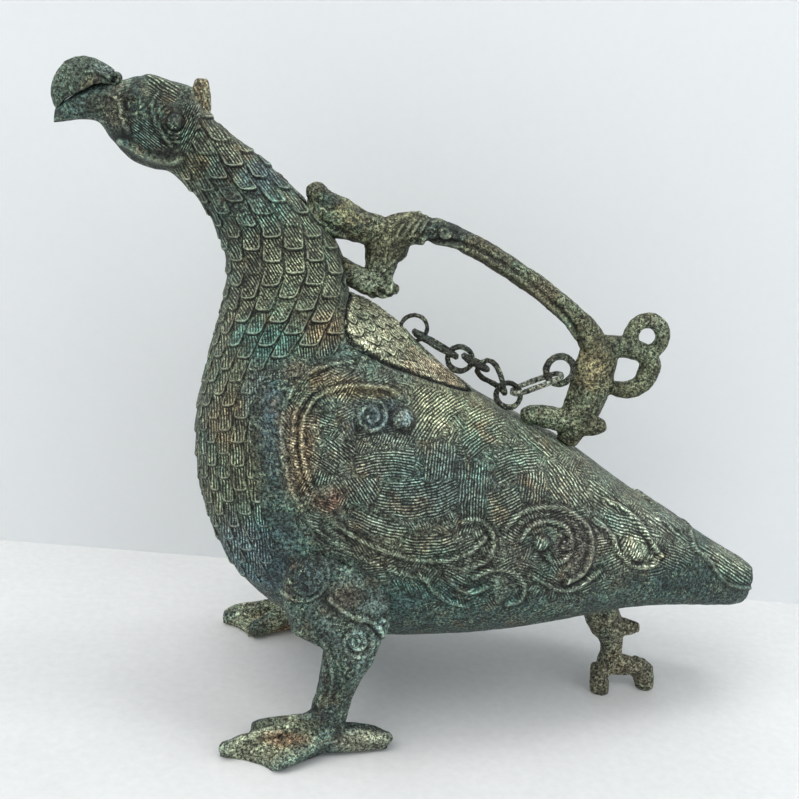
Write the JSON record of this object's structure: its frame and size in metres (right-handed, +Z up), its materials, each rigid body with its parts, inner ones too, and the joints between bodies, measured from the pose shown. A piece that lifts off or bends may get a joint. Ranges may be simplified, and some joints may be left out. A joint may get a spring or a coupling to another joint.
{
  "type": "bird-shaped ritual vessel",
  "caption": "Hollow bronze bird on webbed feet and a tail support, filled under a chained lid in its back and poured through a beak that swings open; an animal handle joins neck and back.",
  "frame": {"origin": "on the surface that the vessel stands on, under the middle of its bounding box", "axes": "+X from head to tail, +Z up, -Y the bird's left side, which is the near side in the picture"},
  "size_m": [0.288, 0.1264, 0.245],
  "materials": {
    "body_bronze": "dark teal-green patina with brown patches, matt",
    "lid_bronze": "pale grey-green patina, matt",
    "foot_bronze": "green-brown patina, matt",
    "handle_bronze": "olive-brown patina, pitted",
    "wire_bronze": "dark patina, matt"
  },
  "bodies": {
    "vessel": {"body_shell": "body_bronze", "beak_hinge_pin": "wire_bronze", "left_leg": "foot_bronze", "right_leg": "foot_bronze", "tail_support_tiger": "foot_bronze", "tiger_handle": "handle_bronze", "handle_ring": "wire_bronze"},
    "beak": {"upper_beak": "body_bronze"},
    "cover": {"lid": "lid_bronze", "lid_loop": "wire_bronze"},
    "link_1": {"chain_link_1": "wire_bronze"},
    "link_2": {"chain_link_2": "wire_bronze"},
    "link_3": {"chain_link_3": "wire_bronze"},
    "link_4": {"chain_link_4": "wire_bronze"},
    "link_5": {"chain_link_5": "wire_bronze"},
    "link_6": {"chain_link_6": "wire_bronze"}
  },
  "joints": [
    {"name": "beak_swing", "type": "hinge", "parent": "vessel", "child": "beak", "pos_m": [-0.1232, 0, 0.2382], "axis": [0, 1, 0], "range_deg": [0, 35]},
    {"name": "lid_tilt", "type": "hinge", "parent": "vessel", "child": "cover", "pos_m": [-0.0365, 0, 0.1655], "axis": [0, -1, 0], "range_deg": [0, 10]},
    {"name": "link_1_swing", "type": "hinge", "parent": "vessel", "child": "link_1", "pos_m": [0.05, 0.0006, 0.139], "axis": [0, -1, 0], "range_deg": [-12.5, 0.5]},
    {"name": "link_2_swing", "type": "hinge", "parent": "link_1", "child": "link_2", "pos_m": [0.0301, -0.0045, 0.1323], "axis": [0, -1, 0], "range_deg": [-0.5, 8]},
    {"name": "link_3_swing", "type": "hinge", "parent": "link_2", "child": "link_3", "pos_m": [0.0267, -0.0042, 0.1322], "axis": [0, -1, 0], "range_deg": [-11.5, 0.5]},
    {"name": "link_4_swing", "type": "hinge", "parent": "link_3", "child": "link_4", "pos_m": [0.019, -0.0028, 0.141], "axis": [0, -1, 0], "range_deg": [-0.5, 2]},
    {"name": "link_6_swing", "type": "hinge", "parent": "cover", "child": "link_6", "pos_m": [-0.01, -0.0003, 0.1534], "axis": [0, -1, 0], "range_deg": [-0.5, 1]},
    {"name": "link_5_swing", "type": "hinge", "parent": "link_6", "child": "link_5", "pos_m": [0.0065, -0.0026, 0.1454], "axis": [0, -1, 0], "range_deg": [-3, 0.5]}
  ],
  "couplings": [
    {"joint": "link_1_swing", "follows": "lid_tilt", "ratio": -1.18},
    {"joint": "link_2_swing", "follows": "lid_tilt", "ratio": 0.73},
    {"joint": "link_3_swing", "follows": "lid_tilt", "ratio": -1.11},
    {"joint": "link_4_swing", "follows": "lid_tilt", "ratio": 0.15},
    {"joint": "link_6_swing", "follows": "lid_tilt", "ratio": 0.05},
    {"joint": "link_5_swing", "follows": "lid_tilt", "ratio": -0.25}
  ]
}
